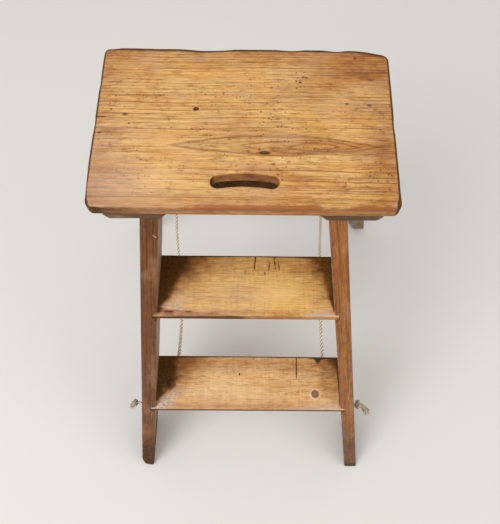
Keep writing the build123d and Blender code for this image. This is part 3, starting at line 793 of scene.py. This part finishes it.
def wear_tread(points, normals, painted, tread):
    """Dark ends near the stiles, of old finish and painted shade, bare wood at the front, cracks from the
    rear and a worn front arris.
    """
    low, high = (np.array(corner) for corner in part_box(tread.node))
    upper = smooth(0.3, 0.7, normals[:, 2])
    x, y = points[:, 0], points[:, 1]
    old, dark, pale = (painted[name] for name in ("old", "dark", "pale"))
    to_front = y - low[1]
    back = to_front / (high[1] - low[1])

    # The worn front arris and the uneven rear edge.
    ragged = 0.7 + 0.6 * value_noise(points * (40, 0, 0), 5)
    bevel = tread.bevel * fall(low[0], low[0] + 0.2, x) * ragged * MM
    drop = 0.5 * np.maximum(bevel - to_front, 0)
    bevelled = smooth(0.0, 0.0015, drop)
    points[:, 2] = np.minimum(points[:, 2], high[2] - drop)
    lost = tread.rear_lost * smooth(-0.05, high[0], x) + 0.4 * value_noise(points * (26, 0, 0), 43)
    points[:, 1] -= lost * smooth(0.8, 1.0, back) * MM

    # The dark ends, and how far each point lies past their edges. They are old finish and painted shade, and
    # the left one holds the left stile's painted shadow.
    edge_shift = (value_noise(points * (60, 60, 0), 17) - 0.5) * 0.02
    past_left = x - np.interp(back, *tread.left_edge) * MM + edge_shift
    left = fall(-1.0, 1.0, past_left / (0.014 + 0.034 * back)) * smooth(0.0, 0.06, back)
    past_right = x - np.interp(back, *tread.right_edge) * MM + 0.5 * edge_shift
    right = smooth(-1.0, 1.0, past_right / (0.006 + 0.036 * back)) * smooth(0.08, 0.2, back)
    right *= tread.right_dark
    olive = tread.olive * smooth(0.14, 0.165, x + 0.5 * edge_shift) * smooth(0.15, 0.4, back)

    # Old finish, dust and dirt, and painted shade.
    # Front faces, bevel and rear part are darker: partly old finish, partly painted shade of faces turned
    # from the light and of the board above.
    old += 0.9 * np.maximum(1 - upper, bevelled) + upper * 0.45 * smooth(0.55, 0.92, back)
    old += upper * 0.7 * fall(0.0, 0.08, past_left) * smooth(0.2, 0.6, back)
    old += upper * 0.5 * (right + olive)
    front_left = fall(0.0, 0.05, x - tread.bare_right * MM)
    old += upper * 0.6 * fall(0.008, 0.018, to_front) * front_left
    worn_line = np.exp(-(((to_front - 0.0086) / 0.002) ** 2)) * smooth(0.2, 0.7, edge_shift * 50 + 0.5)
    dark += upper * 0.35 * worn_line * front_left
    place, half_sizes, share = tread.rubbed
    painted["rubbed"] += upper * share * spot(points, place, half_sizes, 1.0)
    painted["dusty"] += upper * tread.dust * fall(0.3, 0.75, back) * (1 - left) * fall(-0.03, 0.09, x)
    fringe = 0.4 * fall(0.0, 0.075, past_left) * smooth(0.35, 0.7, back)
    # Painted shade in the crease where the tread meets the right stile.
    dark += upper * 0.6 * fall(0.0, 0.006, stile_gap(high[2]) - x) * smooth(0.05, 0.1, back)
    # The dark ends: old dark finish, with painted shadow of the left stile on the left and painted shade at
    # the right.
    dark += upper * np.maximum(np.maximum(0.8 * left, fringe), right)
    dark += 0.7 * smooth(0.957, 0.977, back) + 0.3 * bevelled
    # The front faces are darkened further, partly painted shade.
    dark += tread.front_dark * fall(-0.8, -0.4, normals[:, 1]) * (1 - upper)
    painted["iron"] += upper * 0.38 * olive

    # Bare wood at the front left, silvered wood at the front right, and the lower front arris.
    pale_share = fall(0.0, 0.075, past_left) * fall(0.1, 0.6, back) * (1 - left)
    pale += upper * (1 - bevelled) * tread.bare_left * pale_share
    bare_depth = 0.006 + 0.014 * smooth(tread.bare_right * MM, high[0], x)
    front_right = smooth(tread.bare_right * MM, (tread.bare_right + 50) * MM, x)
    front_right *= fall(high[0] - 0.016, high[0] - 0.004, x)
    painted["silver"] += 0.9 * front_right * fall(0.5, 1.1, to_front / bare_depth)
    lower_arris = fall(0.0, 0.006, points[:, 2] - low[2]) * fall(0.0, 0.004, to_front)
    painted["edge"] = 0.9 * lower_arris + 0.5 * bevelled

    for place, half_sizes in tread.cracks:
        crack = spot(points, place, half_sizes, 0.6) * upper
        points[:, 2] -= crack * 1.5 * MM
        dark += 0.8 * crack
    for place, half_sizes in tread.iron:
        blot = spot(points, place, half_sizes, 0.9) * upper
        painted["iron"] += blot
        dark += 0.5 * blot


def ease_left_foot(points):
    """The left foot is worn round, most of all at its outer corner."""
    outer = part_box("front_stile_left")[0][0]
    return 1 + fall(0.0, 0.04, points[:, 2]) * (2 + 6 * fall(outer, outer + 0.03, points[:, 0]))


# A short pale scratch on the left stile: its middle and its half length.
SCRATCH_PLACE = (-136.1, -36.5, 682.5)
SCRATCH_REACH = 5.5


def wear_stile(points, normals, painted, side):
    """A stile: painted floor reflection on the inner face, grey and dirty foot, a scratch high on the left
    one.
    """
    inner = smooth(0.5, 0.8, -side * normals[:, 0])
    level = points[:, 2]
    # Painted reflection of the pale floor: the inner face gets a pale tint.
    painted["dusty"] += inner * 0.6
    painted["pale"] += inner * 0.15
    painted["old"] += 0.5 * fall(0.05, 0.2, level)
    painted["dark"] += 0.3 * fall(0.0, 0.04, level) + (0.5 - 0.15 * side) * fall(0.04, 0.3, level)
    painted["iron"] += (0.32 + 0.2 * side) * fall(0.08, 0.36, level)
    if side < 0:
        aside = (points - np.array(SCRATCH_PLACE) * MM) / (SCRATCH_REACH * MM)
        off_line = 3.0 * (aside[:, 2] + 0.6 * aside[:, 0])
        painted["pale"] += 0.9 * fall(0.2, 1.0, np.hypot(aside[:, 0], off_line))
    painted["edge"] *= 0.6


def painted_deep_shade(points, normals, painted):
    """Painted deep shade: darkens all over the board under the top, where it shows through the hand slot."""
    painted["dark"] += 0.6


HONEY = colour(236, 189, 121)
AMBER = colour(150, 90, 40)


def make_boards():
    pine = Timber(
        HONEY, AMBER, (-0.045, -0.05, 0.006), 0.0052, wander=0.4, line=0.9, specks=1.0, speck_line=-0.02,
        speck_reach=0.12, thread=0.4, knots=((0.101, -0.041, 0.005, 0.0, 0.0),), worn=(142, 80, 36),
    )
    top = wood("top_pine", axes_of("top_board"), 1.3, pine)
    worn_board("top_board", top, 1.75 * MM, 5.0 * MM, 11, wear_top, ease_top)
    for tread in TREADS:
        pine = Timber(
            tread.early, tread.late, (0.03, -0.07, 0.03), 0.005, line=0.42, mottle=0.85, specks=0.4,
            thread=0.3, saw=0.28, knots=tread.knots, worn=(104, 60, 44),
        )
        paint = wood(tread.node + "_pine", axes_of(tread.node), tread.seed, pine)
        wear = functools.partial(wear_tread, tread=tread)
        worn_board(tread.node, paint, 1.4 * MM, 1.2 * MM, int(tread.seed * 10), wear)
    stile = functools.partial(Timber, ring=0.0035, mottle=0.8, thread=0.6)
    left = stile(colour(128, 77, 27), colour(60, 32, 6), (0.02, -0.03, 0.02))
    right = stile(colour(178, 116, 54), colour(92, 52, 18), (0.02, -0.03, 0.05))
    for node, seed, timber, side, ease in (
        ("front_stile_left", 2.2, left, -1, ease_left_foot),
        ("front_stile_right", 3.4, right, 1, None),
    ):
        paint = wood(node + "_pine", axes_of(node), seed, timber)
        wear = functools.partial(wear_stile, side=side)
        worn_board(node, paint, 2.0 * MM, 2.2 * MM, int(seed * 10), wear, ease)
    # The battens and the rear frame are coloured darker and greyer, partly painted shade of the top above
    # them.
    hidden = Timber(colour(104, 76, 44), colour(66, 46, 24))
    # The back rail's dark colour is painted deep shade, as it shows through the hand slot.
    dark = Timber(colour(92, 56, 22), colour(54, 30, 8))
    grey = Timber(colour(140, 124, 104), colour(98, 84, 66))
    for node, slot, seed, timber, wear in (
        ("batten_left", "batten_wood", 5.2, hidden, None),
        ("batten_right", "batten_wood", 7.1, hidden, None),
        ("back_rail", "batten_wood", 8.3, dark, painted_deep_shade),
        ("rear_leg_left", "rear_wood", 9.2, grey, None),
        ("rear_leg_right", "rear_wood", 10.6, grey, None),
        ("rear_upper_rail", "rear_wood", 11.9, grey, None),
        ("rear_lower_rail", "rear_wood", 12.5, grey, None),
    ):
        paint = wood(node + "_pine", axes_of(node), seed, timber)
        worn_board(node, paint, 2.0 * MM, 2.2 * MM, int(seed * 10), wear)


make_boards()


# Ropes. Each route is the CAD route, with a point added where it leaves the stile's hole. Both ropes run the
# same way to the rear and up, and each has its own places from side to side.
ROPE_DIAMETER = 8 * MM
ROPE_RUN = [
    (-212.22, 200), (-212.22, 200), (-208.5, 199.2), (-155, 188.5), (-70, 177.5),
    (17, 173.5), (103, 176.5), (180, 184), (241.21, 193.74), (279.53, 203.3),
]
ROPE_SIDES = {
    "rope_left": [-239.7, -206, -182, -164, -159.5, -163, -173, -183, -189, -189],
    "rope_right": [231.7, 206, 185, 169.5, 165, 166.3, 167.6, 169, 172, 172],
}
ROUTES = {node: [(x, *run) for x, run in zip(sides, ROPE_RUN)] for node, sides in ROPE_SIDES.items()}


def spline_points(route, steps):
    """Points along the smooth spline that a route controls."""
    curve = bpy.data.curves.new("route", "CURVE")
    curve.dimensions = "3D"
    spline = curve.splines.new("NURBS")
    spline.points.add(len(route) - 1)
    for point, place in zip(spline.points, route):
        point.co = (*place, 1.0)
    spline.order_u = 3
    spline.use_endpoint_u = True
    spline.resolution_u = steps
    carrier = bpy.data.objects.new("route", curve)
    mesh = bpy.data.meshes.new_from_object(carrier)
    points = np.array([vertex.co for vertex in mesh.vertices])
    bpy.data.meshes.remove(mesh)
    bpy.data.objects.remove(carrier)
    return points


def carried_frames(points):
    """Two directions across a line at each of its points, which turn as little as they can."""
    ahead = np.gradient(points, axis=0)
    ahead /= np.linalg.norm(ahead, axis=1)[:, None]
    side = np.cross(ahead[0], (0.0, 0.3, 1.0))
    sides = []
    for direction in ahead:
        side = side - direction * side.dot(direction)
        side = side / np.linalg.norm(side)
        sides.append(side)
    sides = np.array(sides)
    return sides, np.cross(ahead, sides)


STRANDS = 3
STRAND_SIDES = 12
YARNS = 5

# A strand's radius and the length of one turn in rope diameters, and how far out strands lie in strand radii.
STRAND_RADIUS = 0.232
TURN_LENGTH = 3.3
STRAND_OUT = 1.13


def laid_rope(points, diameter, build):
    """Adds three twisted strands along a line of points to build, with a painted crevice shade number at each
    vertex.
    """
    sides, uprights = carried_frames(points)
    run = np.concatenate([[0], np.cumsum(np.linalg.norm(np.diff(points, axis=0), axis=1))])
    strand = diameter * STRAND_RADIUS
    lay = 2 * math.pi / (TURN_LENGTH * diameter)
    for number in range(STRANDS):
        turn = run * lay + number * 2 * math.pi / STRANDS
        outward = np.cos(turn)[:, None] * sides + np.sin(turn)[:, None] * uprights
        middle = points + outward * strand * STRAND_OUT
        first, second = carried_frames(middle)
        rings = []
        for step in range(len(points)):
            ring = []
            for corner in range(STRAND_SIDES):
                angle = corner * 2 * math.pi / STRAND_SIDES
                swell = 1 + 0.07 * math.cos(YARNS * angle - 1.6 * turn[step])
                spoke = around(angle, first[step], second[step])
                vertex = build.verts.new(middle[step] + spoke * strand * swell)
                # Painted shade: strand surfaces that face the rope's core are darker.
                vertex[build.groove] = float(fall(-0.1, 0.8, spoke.dot(outward[step])))
                ring.append(vertex)
            rings.append(ring)
        skin(build, rings)


class Builder:
    """A mesh under construction, with the painted crevice shade number that the rope's colour reads."""

    def __init__(self):
        self.mesh = bmesh.new()
        self.groove = self.mesh.verts.layers.float.new("groove")
        self.verts = self.mesh.verts
        self.faces = self.mesh.faces

    def done(self, name):
        bmesh.ops.recalc_face_normals(self.mesh, faces=list(self.mesh.faces))
        made = bpy.data.meshes.new(name)
        self.mesh.to_mesh(made)
        self.mesh.free()
        made.polygons.foreach_set("use_smooth", [True] * len(made.polygons))
        return show(name, made)


def skin(build, rings):
    """Joins rings of vertices into a closed tube."""
    for ring, following in zip(rings, rings[1:]):
        for corner in range(len(ring)):
            beside = (corner + 1) % len(ring)
            build.faces.new((ring[corner], ring[beside], following[beside], following[corner]))
    build.faces.new(rings[0][::-1])
    build.faces.new(rings[-1])


KNOT_ROPE = 7.0 * MM
LOOSE_STRAND = 5.6 * MM
KNOT_STEPS = 24
FIBRES = 9
FIBRE_STEPS = 5
FIBRE_SIDES = 5


@dataclass
class Knot:
    """A stopper knot: the body it rides on, its seat, the way it faces, its radius and length, the way its
    tail goes, the tail's length and how far the tail's strands stand apart at their ends."""

    body: str
    seat: tuple
    outward: tuple
    radius: float
    length: float
    tail: tuple
    tail_length: float
    flare: float


KNOTS = {
    "front_knot_left": Knot(
        "front_frame", ROUTES["rope_left"][0], (-1, 0, 0), 8.8, 12.5, (-0.3, -0.7, -0.65), 10, 3.0
    ),
    "front_knot_right": Knot(
        "front_frame", ROUTES["rope_right"][0], (1, 0, 0), 10.6, 12.5, (0.6, -0.55, -0.4), 25, 5.5
    ),
    "rear_knot_left": Knot(
        "rear_frame", (-189, 279.82, 203.37), (0, 0.9703, 0.2419), 9.6, 13.6, (-0.2, 0.5, -0.8), 17, 4.5
    ),
    "rear_knot_right": Knot(
        "rear_frame", (172, 279.82, 203.37), (0, 0.9703, 0.2419), 9.6, 13.6, (0.2, 0.5, -0.8), 17, 4.5
    ),
}


def add_fibre(build, start, heading, length, across, beside):
    """A loose fibre that droops and thins towards its end."""
    rings = []
    for step in range(FIBRE_STEPS):
        share = step / (FIBRE_STEPS - 1)
        place = start + (heading + Vector((0, 0, -0.35)) * share) * length * share
        ring = []
        for corner in range(FIBRE_SIDES):
            angle = corner * 2 * math.pi / FIBRE_SIDES
            spoke = around(angle, across, beside)
            ring.append(build.verts.new(place + spoke * (0.55 - 0.4 * share) * MM))
        rings.append(ring)
    skin(build, rings)


def make_knot(node, knot, material, seed):
    """A barrel knot: the rope winds round itself, and its tail comes unlaid and frays."""
    chance = np.random.default_rng(seed)
    outward = Vector(knot.outward).normalized()
    tail = Vector(knot.tail).normalized()
    side = outward.cross(tail).normalized()
    lift = side.cross(outward)
    seat = Vector(knot.seat) * MM
    size = knot.length * MM
    wind = knot.radius * MM - KNOT_ROPE * 0.5
    route = [seat, seat + outward * size * 0.3]
    for step in range(KNOT_STEPS + 1):
        share = step / KNOT_STEPS
        angle = math.pi * (0.5 + 4.0 * share)
        depth = size * (0.26 + 0.48 * share)
        reach = wind * (0.55 + 0.45 * min(1.0, 3 * share))
        route.append(seat + outward * depth + around(angle, side, lift) * reach)
    last = seat + outward * size
    route.append(last + tail * MM)

    build = Builder()
    laid_rope(spline_points(route, 8), KNOT_ROPE, build)
    beside = tail.cross(side)
    for number in range(STRANDS):
        angle = number * 2 * math.pi / STRANDS + chance.uniform(0, 1)
        apart = around(angle, side, beside)
        strand = [last - tail * 2 * MM]
        for along, aside in ((0.3, 0.5), (0.7, 0.8), (1.0, 1.0)):
            strand.append(last + (tail * knot.tail_length * along + apart * knot.flare * aside) * MM)
        laid_rope(spline_points(strand, 14), LOOSE_STRAND, build)
        for _ in range(FIBRES):
            spread = Vector(chance.normal(0, 0.35, 3))
            start = strand[-1] - tail * 1.5 * MM + spread * 1.5 * MM
            heading = (tail + apart * 0.3 + spread).normalized()
            add_fibre(build, start, heading, chance.uniform(4.5, 7.5) * MM, side, beside)
    made = build.done(node + "_tied")
    made.data.materials.append(material)
    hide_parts(node)
    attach(made, knot.body)
    return made


def make_ropes():
    rope_paint = hemp("rope_hemp", 2.5, 0.0)
    knot_paint = hemp("knot_hemp", 4.5, 0.8)
    for number, (node, knot) in enumerate(KNOTS.items()):
        make_knot(node, knot, knot_paint, 30 + number)
    for node, route in ROUTES.items():
        route = [tuple(part * MM for part in place) for place in route]
        line = spline_points(route, 56)
        build = Builder()
        laid_rope(line, ROPE_DIAMETER, build)
        rope = build.done(node + "_laid")
        rope.data.materials.append(rope_paint)
        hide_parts(node)
        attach(rope, "front_frame")
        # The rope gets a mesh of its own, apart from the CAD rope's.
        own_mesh(rope)


make_ropes()


# Iron and pegs keep their CAD shapes.
def dress(node, material):
    cad = frame["nodes"][node]
    if not cad.material_slots:
        cad.data.materials.append(None)
    for place in cad.material_slots:
        place.material = material


def make_fittings():
    hinge_iron = iron("hinge_iron", 1.7, colour(84, 76, 70), colour(104, 62, 38))
    nail_iron = iron("nail_iron", 3.9, colour(62, 56, 54), colour(86, 52, 34), 0.55)
    for node in frame["nodes"]:
        if node.startswith("hinge"):
            dress(node, hinge_iron)
        elif node.endswith("nails"):
            dress(node, nail_iron)
    oak = Timber(colour(150, 104, 62), colour(92, 54, 30), (0.0, -0.02, 0.0), 0.0022)
    dress("rail_pegs", wood("peg_oak", axes_of("rear_lower_rail"), 14.2, oak))


make_fittings()
